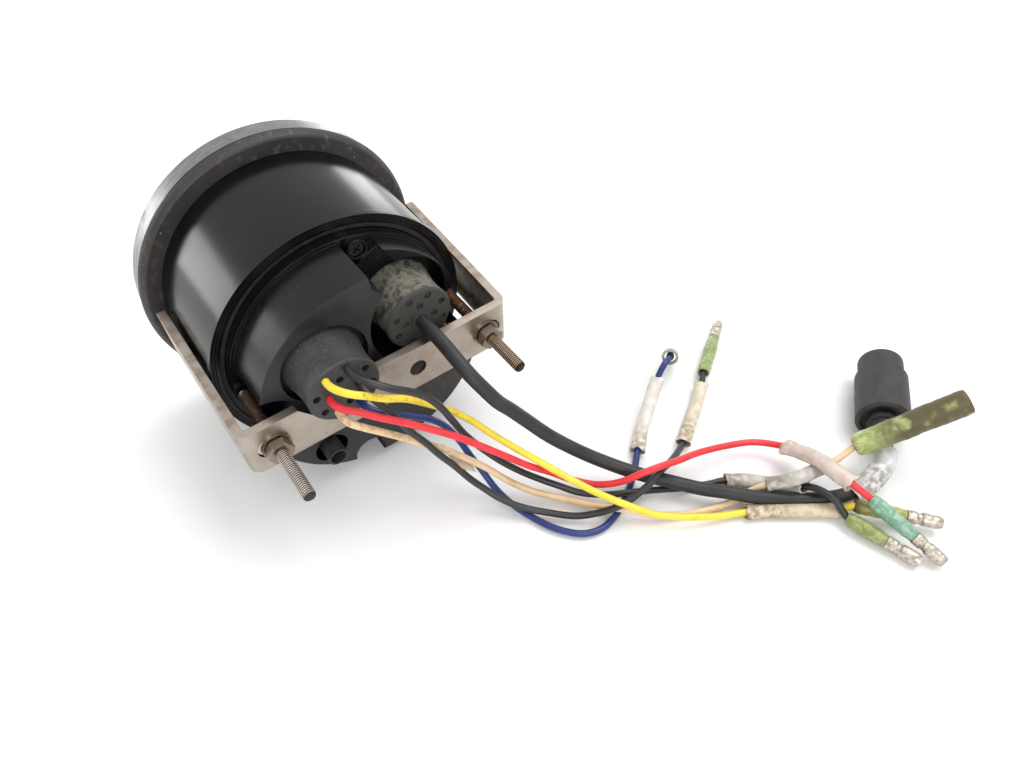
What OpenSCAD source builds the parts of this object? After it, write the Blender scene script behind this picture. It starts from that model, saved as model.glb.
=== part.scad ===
// Round panel gauge with a clamp bracket and its wiring harness, lying on its side.
// Millimetres, +Z up. The gauge parts are drawn about the gauge axis: +Z points to the
// rear of the gauge, +Y up across the dial, and the rear rim of the case is z = 0.

/* [Case] */
// Outside radius of the case tube, which the panel hole fits
case_r = 42.5; // [42:0.1:43]
// Length of the case tube from the panel flange to its rear rim
case_len = 43.3; // [42.5:0.1:44]
// Outside radius of the bezel
bezel_r = 47.6; // [47:0.1:48]
// Length of the bezel along the axis
bezel_len = 8.1; // [8:0.1:9]
// Largest radius of the rubber panel gasket
gasket_r = 48.6; // [48.5:0.1:49]
// Thickness of the panel gasket
gasket_t = 3.2; // [3:0.1:3.4]

/* [Rear cover] */
// Radius of the raised part of the rear cover
cover_r = 37.2; // [37:0.1:37.4]
// Height of the rear cover's high part above the case rim
cover_h = 21; // [20.6:0.1:21.4]
// Height of the low lobe beside the right grommet
lobe_h = 10.5; // [10:0.1:11]

/* [Clamp] */
// Distance of each stud from the gauge axis
stud_u = 36.2; // [36:0.1:36.2]
// Radius of the studs
stud_r = 1.95; // [1.9:0.01:1.95]
// Outside width of the clamp bracket
bracket_w = 90.4; // [90:0.1:91]
// Height of the bracket's channel section
bracket_h = 17; // [16.4:0.1:17.4]
// Length of the bracket's legs below the corner bends
leg_len = 58; // [50:1:59]
// Distance of the bracket's outer face from the case rim
bar_z = 26.45; // [26:0.05:27]

/* [Harness] */
// Diameter of the thick cable
cable_d = 4.4; // [4.2:0.1:4.6]
// Diameter of the thin wires
wire_d = 2.2; // [2:0.1:2.2]

/* [Hidden] */
$fn = 64;
wall = 2;
fine = 0.01;
flange_z = -case_len;
bezel_z = flange_z - 1.1;
front_z = bezel_z - bezel_len;
rim_r = case_r + 0.4;
mouth_r = 40;
seat_z = -5;
tilt = atan((gasket_r - rim_r) / (case_len - 0.3));
axis_h = rim_r * cos(tilt);
roll = 3;
origin_shift = [0, 5.28, 0];

// Left and right grommet: axis, seat height, outer face height, base and face radius
left_c = [-14.4, 14.3];
right_c = [17.3, 12.6];
left_face = 32.7;
right_face = 20.3;
pocket_c = [19, 15];
pocket_r = 18.5;
pocket_floor = 6;
spout_c = [-20.5, -21.9];
screw_c = [8.3, 33.8];
slot_c = 37;
corner_r = 3.7;
sheet = 1.2;
lip = 2.75;
splay = [0.6, 2.4];
nut_gap = 0.25;
washer_t = 0.8;
nut_h = 3.2;
root_z = bar_z + washer_t + nut_gap + nut_h + 0.3;
sleeve_r = 2.2;
label_r = 1.7;
board_z = -20;
lamp_v = 22;
dial_z = -42.2;

// Routes of the harness on the surface that the gauge lies on, before origin_shift.
main_route = [[-16.5, 21, 53.5], [-16.5, 28.5, 52.5], [-16.5, 35.5, 51.5], [-16.5, 42, 50],
    [-17.5, 47, 47], [-19.5, 50.5, 43], [-22, 53, 38.5], [-25.5, 54.5, 34],
    [-29.5, 56.5, 28.5], [-35, 61, 21.5], [-42.5, 66.5, 14], [-49, 73, 9.5], [-55, 80.5, 7],
    [-61, 88, 6], [-67, 95.5, 5], [-72.5, 102.5, 5.5], [-79, 108.5, 4], [-88.5, 115.5, 2.5],
    [-96, 121, 2.6], [-102.5, 124.5, 3.5], [-109, 126, 5.5], [-115.5, 125.5, 7.5],
    [-121, 122.5, 8.5], [-125, 119.5, 8.5]];
black_a_route = [[13.5, 33.5, 60], [13.5, 37.5, 59.5], [12.5, 41, 59], [10, 44, 58],
    [6.5, 46.5, 56], [2, 47.5, 53], [-2, 48, 49], [-5.5, 48.5, 43.5], [-8, 49.5, 37.5],
    [-11, 50.5, 30], [-15, 52.5, 23], [-19.5, 55.5, 16.5], [-24.5, 59, 11], [-29, 63, 7.5],
    [-33, 67.5, 5.5], [-37, 72.5, 4], [-42.5, 78, 4], [-49.5, 82.5, 4], [-57.5, 86, 2.5],
    [-65, 90, 1.5], [-72.5, 94, 1.5], [-77.5, 96.5, 2], [-82.5, 100.5, 2], [-87, 105.5, 2],
    [-90.5, 110.5, 2.5], [-92, 115, 5.7], [-93, 119.5, 7.4], [-93.5, 124.5, 7],
    [-93.8, 129.6, 3.5], [-94.4, 132.6, 3.2]];
black_b_route = [[11, 32.5, 52], [11, 36.5, 51.5], [10, 39.5, 49.5], [8.5, 41.5, 47],
    [6.5, 43, 43.5], [5, 44, 40], [3, 45, 35.5], [0, 46.5, 30.5], [-3, 48, 24.5],
    [-6.5, 50, 18.5], [-9.5, 53, 13], [-12.5, 56.5, 9], [-15, 60.5, 6.5], [-19, 66, 4.5],
    [-24.5, 71.5, 3], [-31, 78, 2.5], [-37, 82.5, 4], [-41, 85.5, 6.5], [-45, 86.5, 7.5],
    [-49.5, 87, 9], [-54, 87, 10.5], [-58.5, 86, 11], [-64, 84, 8.5], [-71, 81, 5.5],
    [-78, 77.5, 3], [-84.5, 73.5, 2], [-95.5, 67, 2], [-104, 61.5, 3], [-108.5, 58, 3.5],
    [-111, 56.5, 3.5]];
yellow_route = [[20, 33.5, 59], [20, 37, 58.5], [19, 40.5, 58.5], [16.5, 43, 57.5],
    [13, 44, 55.5], [8, 44, 51.5], [2, 43, 47], [-4, 43, 41.5], [-9.5, 45, 37],
    [-14.5, 49, 32.5], [-19, 54, 27], [-24, 59, 21.5], [-28.5, 64, 17], [-32.5, 70, 13.5],
    [-36.5, 77.5, 11], [-40, 84.5, 10], [-44, 89.5, 8], [-48.5, 94, 5.5], [-53, 97.5, 4.5],
    [-57.5, 101, 4], [-65, 105, 2.5], [-73, 109, 2], [-79, 113, 2], [-87, 119.5, 2],
    [-94.5, 125.5, 2.4], [-98, 128.5, 4.8], [-100, 131, 4.8]];
red_route = [[20, 32.5, 51.5], [20, 36.5, 51], [18.5, 39.5, 50.5], [15.5, 42, 49.5],
    [11, 44.5, 46.5], [5, 47, 42.5], [-1, 49.5, 38], [-6.5, 52.5, 34], [-12.5, 55.5, 28.5],
    [-19, 59.5, 22.5], [-25.5, 62.5, 16], [-31.5, 65, 11], [-36, 69, 8], [-40.5, 74, 7],
    [-44, 78.5, 8.5], [-47.5, 82, 11], [-51.5, 84.5, 13.5], [-57, 86.5, 14.5],
    [-65.5, 87, 12], [-75.5, 86.5, 8], [-86, 88.5, 5.5], [-95, 93, 5], [-100, 101.5, 6.5],
    [-99.5, 111.5, 10.5], [-98.5, 119, 12], [-98.5, 125.5, 11.8], [-100, 131.5, 9.5],
    [-100.3, 134, 8.8]];
blue_route = [[11.5, 31.5, 45], [11.5, 35.5, 44.5], [10, 38, 43.5], [7, 39.5, 41.5],
    [3, 39.5, 38.5], [-1.5, 39, 34.5], [-6.5, 39, 30], [-10.5, 40, 25], [-13, 42.5, 19.5],
    [-14.5, 45.5, 14], [-16, 49.5, 9], [-17, 55, 4.5], [-18.5, 61.5, 2], [-20.5, 69, 1.5],
    [-23.5, 77, 1.5], [-28.5, 83.5, 1.5], [-34.5, 86, 1.5], [-41, 85, 1.5], [-46.5, 82.5, 1.5],
    [-52, 79.5, 1.5], [-58, 75.5, 1.5], [-64.5, 70, 2], [-71, 65, 3.5], [-80.5, 59, 7.5],
    [-87, 55.5, 12], [-91.5, 54, 15], [-95.5, 52.5, 14.5], [-97, 51.5, 13]];
beige_route = [[18.5, 31.5, 45], [18.5, 35.5, 44.5], [17.5, 38.5, 43.5], [15, 40.5, 42],
    [11.5, 41.5, 39], [6, 42, 33.5], [0.5, 43, 28], [-5, 45, 23.5], [-10, 48.5, 19],
    [-15.5, 53, 14], [-20.5, 58.5, 8.5], [-26, 64, 4.5], [-32, 70, 2.5], [-37.5, 77.5, 2.5],
    [-43, 85.5, 4], [-49.5, 92, 2.5], [-57, 97, 1.5], [-65, 101, 1.5], [-73.5, 103.5, 1.5],
    [-79.8, 104.2, 1.8], [-84, 107.4, 5.4], [-87.5, 111, 7.8], [-91, 113.2, 9.2], [-96, 113.5, 7.9],
    [-103, 114.5, 6.8], [-108, 115.5, 8.3], [-112.5, 116.5, 11], [-114.5, 117.8, 12.2]];

// Ends of the connectors: where each one starts and where it points.
plug_at = [-131, 115, 8.5];
plug_to = [-155.3, 97.5, 8.5];
socket_at = [-112.5, 116.5, 11];
socket_to = [-138.5, 132.5, 27];
yellow_at = [-98, 128.5, 4.8];
yellow_to = [-107, 140, 4.2];
black_a_at = [-93.8, 129.6, 3.5];
black_a_to = [-95.8, 141.5, 2.9];
red_at = [-100, 131.5, 9.5];
red_to = [-101.5, 146, 5.2];
black_b_at = [-108.5, 58, 3.5];
black_b_to = [-127, 46.3, 2.8];
blue_at = [-95.5, 52.5, 14.5];
blue_to = [-106.5, 43.3, 3.3];

// ---- placing ----

// Puts a part drawn about the gauge axis where the gauge lies on its side.
module on_gauge() {
    translate(origin_shift + [0, 0, axis_h])
        rotate([90 + tilt, 0, 180])
            rotate([0, 0, roll])
                children();
}

// Puts a part drawn along +Z so that it starts at p and points to q.
module along(p, q) {
    d = q - p;
    translate(origin_shift + p)
        rotate([0, acos(d.z / norm(d)), atan2(d.y, d.x)])
            children();
}

module ring(r_out, r_in, z_low, z_high) {
    translate([0, 0, z_low])
        difference() {
            cylinder(r = r_out, h = z_high - z_low, $fn = 128);
            translate([0, 0, -1])
                cylinder(r = r_in, h = z_high - z_low + 2, $fn = 128);
        }
}

module disc(r, z_low, z_high) {
    translate([0, 0, z_low])
        cylinder(r = r, h = z_high - z_low, $fn = 128);
}

// ---- sweeping ----

function unit(v) = v / norm(v);

// Direction of a route at point i.
function heading(path, i) =
    unit(path[min(i + 1, len(path) - 1)] - path[max(i - 1, 0)]);

// Sideways direction of a ring, kept level.
function side(t) = unit(cross(t, abs(t.z) > 0.95 ? [1, 0, 0] : [0, 0, 1]));

// Closed tube through a route's points.
module tube(path, r, sides = 8) {
    n = len(path);
    points = [for (i = [0:n - 1]) let (t = heading(path, i), a = side(t), b = cross(t, a))
        for (k = [0:sides - 1]) path[i] + r * (a * cos(360 * k / sides) + b * sin(360 * k / sides))];
    walls = [for (i = [0:n - 2]) for (k = [0:sides - 1]) let (m = (k + 1) % sides)
        each [[i * sides + k, i * sides + m, (i + 1) * sides + m],
              [i * sides + k, (i + 1) * sides + m, (i + 1) * sides + k]]];
    caps = [[for (k = [sides - 1:-1:0]) k], [for (k = [0:sides - 1]) (n - 1) * sides + k]];
    translate(origin_shift)
        polyhedron(points = points, faces = concat(walls, caps), convexity = 10);
}

function part_of(path, first, last) = [for (i = [first:last]) path[i]];

// ---- front ----

module bezel_ring() color("#8d8f90") on_gauge()
    rotate_extrude($fn = 128)
        union() {
            polygon([[46, bezel_z], [bezel_r, bezel_z], [bezel_r, front_z + 1.8],
                [bezel_r - 1.8, front_z], [42.4, front_z], [41.6, front_z + 0.8],
                [41.6, front_z + 1.6], [46, front_z + 1.6]]);
            translate([bezel_r - 1.8, front_z + 1.8])
                circle(r = 1.8);
        }

module lens() color("#c8d0d4") on_gauge()
    disc(45.6, front_z + 1.6, front_z + 3.6);

module lens_gasket() color("#202020") on_gauge()
    ring(45.4, 41.6, front_z + 3.6, front_z + 4.4);

module panel_gasket() color("#3a3733") on_gauge()
    rotate_extrude($fn = 128)
        polygon([[case_r, flange_z], [gasket_r - 0.4, flange_z], [gasket_r, flange_z + 0.3],
            [gasket_r - 0.3, flange_z + 1.6], [gasket_r - 1, flange_z + gasket_t - 0.4],
            [gasket_r - 1.6, flange_z + gasket_t], [case_r, flange_z + gasket_t]]);

module front_case() color("#17181a") on_gauge()
    difference() {
        union() {
            disc(case_r, front_z + 4.4, -2);
            disc(45.6, front_z + 4.4, flange_z);
            disc(48.1, bezel_z, flange_z);
            disc(rim_r, -2, 0);
        }
        difference() {
            disc(case_r - wall, front_z, seat_z - 3);
            for (s = [1, -1]) scale([s, s, 1]) screw_boss();
        }
        disc(38.2, seat_z - 3.5, seat_z + 1);
        disc(mouth_r, seat_z, 1);
        ring(41.4, 41.1, -0.3, 1);
        ring(42.2, 41.9, -0.3, 1);
        for (s = [1, -1])
            translate([s * screw_c.x, s * screw_c.y, -13])
                cylinder(r = 1.5, h = 20);
    }

// Post inside the case that a cover screw bites into.
module screw_boss() {
    r = 3.4;
    rotate([0, 0, atan2(screw_c.y, screw_c.x)])
        translate([norm(screw_c), 0, -15])
            linear_extrude(height = 10)
                polygon(concat([for (a = [90:15:270]) r * [cos(a), sin(a)]], [[8, -r], [8, r]]));
}

module case_seal() color("#0c0c0c") on_gauge()
    ring(39.9, 38.4, -3, -0.6);

// ---- rear cover ----

// Outline of the high part of the cover, drawn in by t.
module plateau_plan(t = 0) {
    difference() {
        circle(r = cover_r - t, $fn = 128);
        translate(pocket_c)
            circle(r = pocket_r + t, $fn = 96);
        polygon([[3 - t, 45], [3.9 - t, 32.7], [7.3 - t, 28.5 - t], pocket_c, [45, 15 - t], [45, 45]]);
        translate([-stud_u, 0])
            circle(r = 11.5 + t);
        translate([stud_u, 0])
            circle(r = 8.5 + t);
        translate(-screw_c)
            circle(r = 5.5 + t);
    }
}

// Outline of the low lobe that curls round the right grommet.
module lobe_plan(t = 0) {
    difference() {
        circle(r = cover_r - t, $fn = 128);
        translate([16.5, 13])
            circle(r = 15.7 + t, $fn = 96);
        polygon([[13.8 + t, 45], [13.8 + t, 34.5], [18 + t, 26], [16.5, 13], [20, 3 + t],
            [45, 3 + t], [45, -45], [-45, -45], [-45, 45]]);
        translate([stud_u, 0])
            circle(r = 8.5 + t);
    }
}

module raised(z_low, z_high) {
    translate([0, 0, z_low])
        linear_extrude(height = z_high - z_low)
            children();
}

// Floor of the pocket that the right grommet stands in.
module pocket_plan(t = 0) {
    intersection() {
        circle(r = cover_r - t, $fn = 128);
        translate(pocket_c)
            circle(r = pocket_r + 0.2 - t, $fn = 96);
    }
}

module rear_cover() color("#1b1c1f") on_gauge()
    difference() {
        union() {
            disc(39.9, seat_z, -3);
            disc(38.2, seat_z, 3);
            raised(0, cover_h) plateau_plan();
            raised(0, lobe_h) lobe_plan();
            raised(0, pocket_floor) pocket_plan();
            for (s = [1, -1])
                translate([s * screw_c.x, s * screw_c.y, 0])
                    cylinder(r = 3.3, h = 5.4);
            intersection() {
                disc(38.2, seat_z, 5);
                for (s = [1, -1])
                    translate([s * stud_u, 0, seat_z])
                        cylinder(r = 4.4, h = 9);
            }
        }
        difference() {
            union() {
                disc(36, seat_z - 1, 1);
                raised(0.5, cover_h - wall) plateau_plan(wall);
                raised(0.5, lobe_h - wall) lobe_plan(wall);
                raised(0.5, pocket_floor - wall) pocket_plan(wall);
            }
            translate([left_c.x, left_c.y, cover_h - 5])
                cylinder(r = 15, h = 6);
            translate([spout_c.x, spout_c.y, cover_h - 8.5])
                cylinder(r = 7.2, h = 9);
            for (s = [1, -1]) {
                translate([s * stud_u, 0, seat_z])
                    cylinder(r = 4.4, h = 9);
                translate([s * screw_c.x, s * screw_c.y, seat_z])
                    cylinder(r = 3.3, h = 9);
            }
        }
        translate([left_c.x, left_c.y, cover_h - 3])
            cylinder(r = 13.5, h = 6);
        translate([left_c.x, left_c.y, cover_h - 8])
            cylinder(r = 10.6, h = 10);
        translate([right_c.x, right_c.y, 0])
            cylinder(r = 10.4, h = 10);
        translate([spout_c.x, spout_c.y, cover_h - 6.5])
            cylinder(r = 5.5, h = 8);
        translate([spout_c.x, spout_c.y, cover_h - 10])
            cylinder(r = 3.25, h = 8);
        for (s = [1, -1]) {
            translate([s * stud_u, 0, -4])
                cylinder(r = stud_r, h = 12);
            translate([s * screw_c.x, s * screw_c.y, seat_z - 1])
                cylinder(r = 1.6, h = 12);
            translate([s * screw_c.x, s * screw_c.y, 3])
                cylinder(r = 2.5, h = 4);
        }
    }

module cover_screws() color("#3b3b3d") on_gauge()
    for (s = [1, -1])
        translate([s * screw_c.x, s * screw_c.y, 0])
            difference() {
                union() {
                    translate([0, 0, -12.5])
                        cylinder(r = 1.5, h = 16);
                    translate([0, 0, 3])
                        cylinder(r = 2.3, h = 1.7);
                }
                for (a = [45, 135])
                    rotate([0, 0, a])
                        translate([-1.5, -0.3, 3.7])
                            cube([3, 0.6, 2]);
            }

// Flanged rubber plug with two rings of wire holes: seat, face, base and face radius.
module grommet(seat, face, base_r, face_r, neck_r, middle_r, filled) {
    h = face - seat;
    difference() {
        rotate_extrude($fn = 96)
            polygon(concat([[0, seat - 3.5], [neck_r + 1.6, seat - 3.5], [neck_r + 1.6, seat - 2],
                [neck_r, seat - 2], [neck_r, seat]],
                [for (k = [0:8]) [base_r + (face_r - base_r) * k / 8 - 0.8 * sin(180 * k / 8),
                    seat + (h - 0.6) * k / 8]],
                [[face_r - 0.6, face], [0, face]]));
        for (k = [0:7])
            if (len([for (f = filled) if (f == k) f]) == 0)
                rotate([0, 0, 20 + 45 * k])
                    translate([8.4, 0, face - 6])
                        cylinder(r = 1.15, h = 10, $fn = 24);
        for (k = [0:3])
            if (len([for (f = filled) if (f == k + 8) f]) == 0)
                rotate([0, 0, 85 + 90 * k])
                    translate([5, 0, face - 6])
                        cylinder(r = 1.15, h = 10, $fn = 24);
        translate([0, 0, seat - 5])
            cylinder(r = middle_r, h = 5 + h / 2);
    }
}

module grommet_left() color("#3c3d3e") on_gauge()
    translate([left_c.x, left_c.y, 0])
        rotate([0, 0, 12])
            grommet(cover_h - 3, left_face, 12.5, 11, 10.5, 8, [1, 2, 5, 6, 9, 11]);

module grommet_right() color("#5d5e50") on_gauge()
    translate([right_c.x, right_c.y, 0]) {
        grommet(pocket_floor, right_face, 12, 11, 10.3, 8, []);
        translate([0, 0, right_face - fine])
            ring(3.2, cable_d / 2, 0, 0.9);
    }

module vent_spout() color("#141414") on_gauge()
    translate([spout_c.x, spout_c.y, 0])
        difference() {
            translate([0, 0, cover_h - 8.5])
                cylinder(r = 3.25, h = 13);
            translate([0, 0, cover_h - 9])
                cylinder(r = 2.65, h = 15);
        }

// ---- clamp ----

// The thread is left out but for one root, where the free end beyond the nut starts.
module stud(reach) {
    disc(stud_r, -4, root_z);
    disc(stud_r - 0.25, root_z - 1, root_z + 1.4);
    disc(stud_r, root_z + 0.4, reach - 0.5);
    translate([0, 0, reach - 0.5])
        cylinder(r1 = stud_r, r2 = stud_r - 0.5, h = 0.5);
}

module stud_left() color("#8a857c") on_gauge()
    translate([-stud_u, 0, 0])
        stud(48);

module stud_right() color("#7d6f60") on_gauge()
    translate([stud_u, 0, 0])
        stud(45.5);

// One side of the bent strip from the middle outwards, t in from its outer face.
function bend(t, open_angle, extra) =
    let (c = [bracket_w / 2 - corner_r, bar_z - corner_r], r = corner_r - t)
    concat([for (k = [0:8]) let (a = 90 - (90 - open_angle) * k / 8) c + r * [cos(a), sin(a)]],
        [c + r * [cos(open_angle), sin(open_angle)]
            + (leg_len + extra) * [sin(open_angle), -cos(open_angle)]]);

// The whole strip, end to end, from the right leg to the left leg.
function rail(t, extra) =
    let (right = bend(t, splay[1], extra), left = bend(t, splay[0], extra), n = len(right))
    concat([for (i = [n - 1:-1:0]) right[i]], [for (i = [0:n - 1]) [-left[i].x, left[i].y]]);

// Bent strip between two depths from its outer face, of width w.
module strip(t_near, t_far, w, extra = 0) {
    far = rail(t_far, extra);
    rotate([90, 0, 0])
        linear_extrude(height = w, center = true)
            polygon(concat(rail(t_near, extra), [for (i = [len(far) - 1:-1:0]) far[i]]));
}

// Plan of the slot in the crossbar for a stud.
module slot_plan() {
    polygon([for (s = [1, -1]) for (a = [-90:15:90]) s * [1 + 3.75 * cos(a), 3.75 * sin(a)]]);
}

module clamp_bracket() color("#a39a8e") on_gauge()
    difference() {
        strip(0, lip, bracket_h);
        difference() {
            strip(sheet, lip + 0.5, bracket_h - 2 * sheet, 1);
            // lip that follows the sloping end of the grommet notch
            translate([-27.2, 8.37, bar_z - 4])
                rotate([0, 0, -52.6])
                    translate([0, -sheet, 0])
                        cube([7.3, sheet + 0.2, 4]);
        }
        for (s = [1, -1])
            translate([s * slot_c, 0, bar_z - 5])
                linear_extrude(height = 10)
                    slot_plan();
        translate([11.1, 0, bar_z - 5])
            cylinder(r = 2.9, h = 10);
        translate([0, 0, bar_z - 5])
            linear_extrude(height = 10)
                polygon([[-28, 9.4], [-22.8, 2.6], [-21, 1.3], [-7.8, 1.3], [-0.6, 9.4]]);
    }

module washers() color("#9b958b") on_gauge()
    for (s = [1, -1])
        translate([s * stud_u, 0, 0])
            ring(4.5, 2.15, bar_z, bar_z + washer_t);

module nut() {
    translate([0, 0, bar_z + washer_t + nut_gap])
        difference() {
            intersection() {
                cylinder(r = 7 / 2 / cos(30), h = nut_h, $fn = 6);
                rotate_extrude()
                    polygon([[0, 0], [3.6, 0], [4.1, 0.3], [4.1, nut_h - 0.3], [3.6, nut_h], [0, nut_h]]);
            }
            translate([0, 0, -1])
                cylinder(r = stud_r + 0.09, h = nut_h + 2);
        }
}

module nut_left() color("#8f8c88") on_gauge()
    translate([-stud_u, 0, 0])
        nut();

module nut_right() color("#8f8c88") on_gauge()
    translate([stud_u, 0, 0])
        rotate([0, 0, 12])
            nut();

// ---- dial and movement ----

module trim_ring() color("#101010") on_gauge()
    rotate_extrude($fn = 128)
        polygon([[40.3, dial_z], [36.8, dial_z], [36.8, dial_z - 0.8],
            [39.4, dial_z - 5.4], [40.3, dial_z - 5.4]]);

module dial_plate() color("#141414") on_gauge()
    difference() {
        disc(40.2, dial_z, dial_z + 1);
        disc(1.5, dial_z - 1, dial_z + 2);
        for (s = [1, -1])
            translate([s * 8, 0, dial_z - 1])
                cylinder(r = 1.1, h = 3);
    }

module dial_screws() color("#222222") on_gauge()
    for (s = [1, -1])
        translate([s * 8, 0, 0]) {
            disc(1.9, dial_z - 0.9, dial_z);
            disc(1, dial_z - fine, dial_z + 6);
        }

module light_guide() color("#d7dcd8") on_gauge()
    ring(39.6, 15.5, dial_z + 1.2, dial_z + 3.2);

module needle() color("#d8582a") on_gauge()
    rotate([0, 0, -30])
        difference() {
            union() {
                translate([0, 0, -45.2])
                    linear_extrude(height = 0.8)
                        polygon([[-9, -1.6], [-9, 1.6], [0, 1.8], [33, 0.4], [33, -0.4], [0, -1.8]]);
                disc(2.6, -45.2, -43.2);
            }
            disc(0.75, -47, -42);
        }

module needle_cap() color("#0f0f0f") on_gauge()
    rotate_extrude()
        polygon([[0, -47.2], [4, -47.2], [4.6, -46.6], [4.6, -45.2], [0, -45.2]]);

module needle_shaft() color("#c9c9c9") on_gauge()
    disc(0.75, -45.2, -24.5);

module rotor_magnet() color("#5a5a5e") on_gauge()
    ring(5, 0.75, -34, -29);

module movement_base() color("#e6e2d6") on_gauge()
    difference() {
        union() {
            disc(14.5, -39.2, -37.2);
            for (s = [1, -1])
                translate([s * 8, 0, 0])
                    disc(2.2, dial_z + 1, -38);
            disc(2.4, -39.2, -36.8);
        }
        disc(0.82, -42, -30);
        for (s = [1, -1])
            translate([s * 8, 0, -44])
                cylinder(r = 1, h = 9.9);
    }

module movement_cup() color("#b9bcc0") on_gauge()
    difference() {
        disc(14.5, -37.2, -23);
        disc(13.5, -38, -24);
        disc(0.82, -30, -22);
    }

// Square winding round the rotor, turned by a about the gauge axis.
module coil(half_w, half_h, a) {
    rotate([0, 0, a])
        rotate([90, 0, 0])
            linear_extrude(height = 7, center = true)
                translate([0, -31.5])
                    difference() {
                        square([2 * half_w + 1.6, 2 * half_h + 1.6], center = true);
                        square([2 * half_w, 2 * half_h], center = true);
                        square([1.8, 20], center = true);
                    }
}

module coil_inner() color("#a4542a") on_gauge()
    coil(6.3, 3.3, 0);

module coil_outer() color("#a4542a") on_gauge()
    coil(8.2, 4.2, 90);

module circuit_board() color("#1f5a33") on_gauge()
    difference() {
        disc(36.5, board_z, board_z + 1.6);
        for (a = [30, 150, 270])
            rotate([0, 0, a])
                translate([31, 0, board_z - 1])
                    cylinder(r = 1.6, h = 4);
        for (s = [1, -1])
            translate([0, s * lamp_v, board_z - 1])
                cylinder(r = 4.1, h = 4);
    }

module board_posts() color("#b59a4a") on_gauge()
    for (a = [30, 150, 270])
        rotate([0, 0, a])
            translate([31, 0, dial_z + 3.2])
                difference() {
                    cylinder(r = 2.8, h = board_z - dial_z - 3.2);
                    translate([0, 0, board_z - dial_z - 3.2 - 6])
                        cylinder(r = 1.3, h = 8);
                }

module board_screws() color("#9a9a9a") on_gauge()
    for (a = [30, 150, 270])
        rotate([0, 0, a])
            translate([31, 0, 0]) {
                disc(1.3, board_z - 5.5, board_z + 1.6);
                disc(2.6, board_z + 1.6, board_z + 3.4);
            }

module board_parts() color("#1a1a1a") on_gauge() {
    translate([-5, -8, board_z + 1.6])
        cube([10, 16, 3.2]);
    translate([14, 4, board_z + 1.6])
        cylinder(r = 3.2, h = 9);
    translate([-18, -6, board_z + 1.6])
        cylinder(r = 2.6, h = 8);
    translate([12, -18, board_z + 1.6])
        cube([7, 7, 5]);
    translate([-22, 8, board_z + 1.6])
        cube([4, 18, 6]);
}

// Bulb holders with a bulb in each, lighting the dial from behind.
module lamps() color("#e9e4c8") on_gauge()
    for (s = [1, -1])
        translate([0, s * lamp_v, 0]) {
            disc(4.05, board_z - 2, board_z + 5);
            disc(5.6, board_z + 1.6, board_z + 3);
            disc(2.4, board_z - 9, board_z - 2);
            translate([0, 0, board_z - 9])
                sphere(r = 2.4);
        }

// ---- harness ----

module cord_main() color("#1d1d1f") tube(main_route, cable_d / 2);
module wire_black_a() color("#1c1c1e") tube(black_a_route, wire_d / 2);
module wire_black_b() color("#2a2a2c") tube(black_b_route, wire_d / 2);
module wire_yellow() color("#e3cf3c") tube(yellow_route, wire_d / 2);
module wire_red() color("#d92a36") tube(red_route, wire_d / 2);
module wire_blue() color("#1d3a86") tube(blue_route, wire_d / 2);
module wire_beige() color("#dcc09a") tube(beige_route, wire_d / 2);

module label_main() color("#d9dadb") tube(part_of(main_route, 19, 22), 2.7);
module label_black_a() color("#d6d3cb") tube(part_of(black_a_route, 21, 25), label_r);
module label_black_b() color("#d6cfbd") tube(part_of(black_b_route, 24, 27), label_r);
module label_yellow() color("#d9c7a0") tube(part_of(yellow_route, 21, 24), label_r);
module label_red() color("#d8cdbd") tube(part_of(red_route, 22, 25), label_r);
module label_blue() color("#d6cfbd") tube(part_of(blue_route, 21, 24), label_r);
module label_beige() color("#d6d3cb") tube(part_of(beige_route, 20, 24), label_r);

// Clear sleeve over a crimp: solid but for the wire's bore and the connector's.
module sleeve(length, r) {
    difference() {
        rotate_extrude()
            polygon([[0, 0], [r - 0.4, 0], [r, 0.6], [r, length - 0.5], [r - 0.3, length], [0, length]]);
        translate([0, 0, -1])
            cylinder(r = wire_d / 2, h = 5);
        translate([0, 0, length - 4])
            cylinder(r = 1.5, h = 5);
    }
}

module sleeve_yellow() color("#9fae4d") along(yellow_at, yellow_to)
    sleeve(norm(yellow_to - yellow_at), sleeve_r);
module sleeve_black_a() color("#8da65a") along(black_a_at, black_a_to)
    sleeve(norm(black_a_to - black_a_at), sleeve_r);
module sleeve_red() color("#7ab195") along(red_at, red_to)
    sleeve(norm(red_to - red_at), sleeve_r);
module sleeve_black_b() color("#93b06b") along(black_b_at, black_b_to)
    sleeve(norm(black_b_to - black_b_at), sleeve_r);
module sleeve_blue() color("#6f9a6c") along(blue_at, blue_to)
    sleeve(norm(blue_to - blue_at), 3);

// Male bullet connector from the end of its sleeve.
module bullet() {
    translate([0, 0, -4])
        rotate_extrude()
            polygon([[0, 0], [1.5, 0], [1.5, 4], [2, 4.2], [2, 6.6], [1.65, 7.2], [1.65, 8],
                [2, 8.6], [2, 12.6], [1.6, 14], [1.1, 14], [1.1, 11], [0, 11]]);
}

module bullet_yellow() color("#bdb8ae") along(yellow_to, 2 * yellow_to - yellow_at) bullet();
module bullet_black_a() color("#bdb8ae") along(black_a_to, 2 * black_a_to - black_a_at) bullet();
module bullet_red() color("#bdb8ae") along(red_to, 2 * red_to - red_at) bullet();
module bullet_black_b() color("#bdb8ae") along(black_b_to, 2 * black_b_to - black_b_at) bullet();

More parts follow.
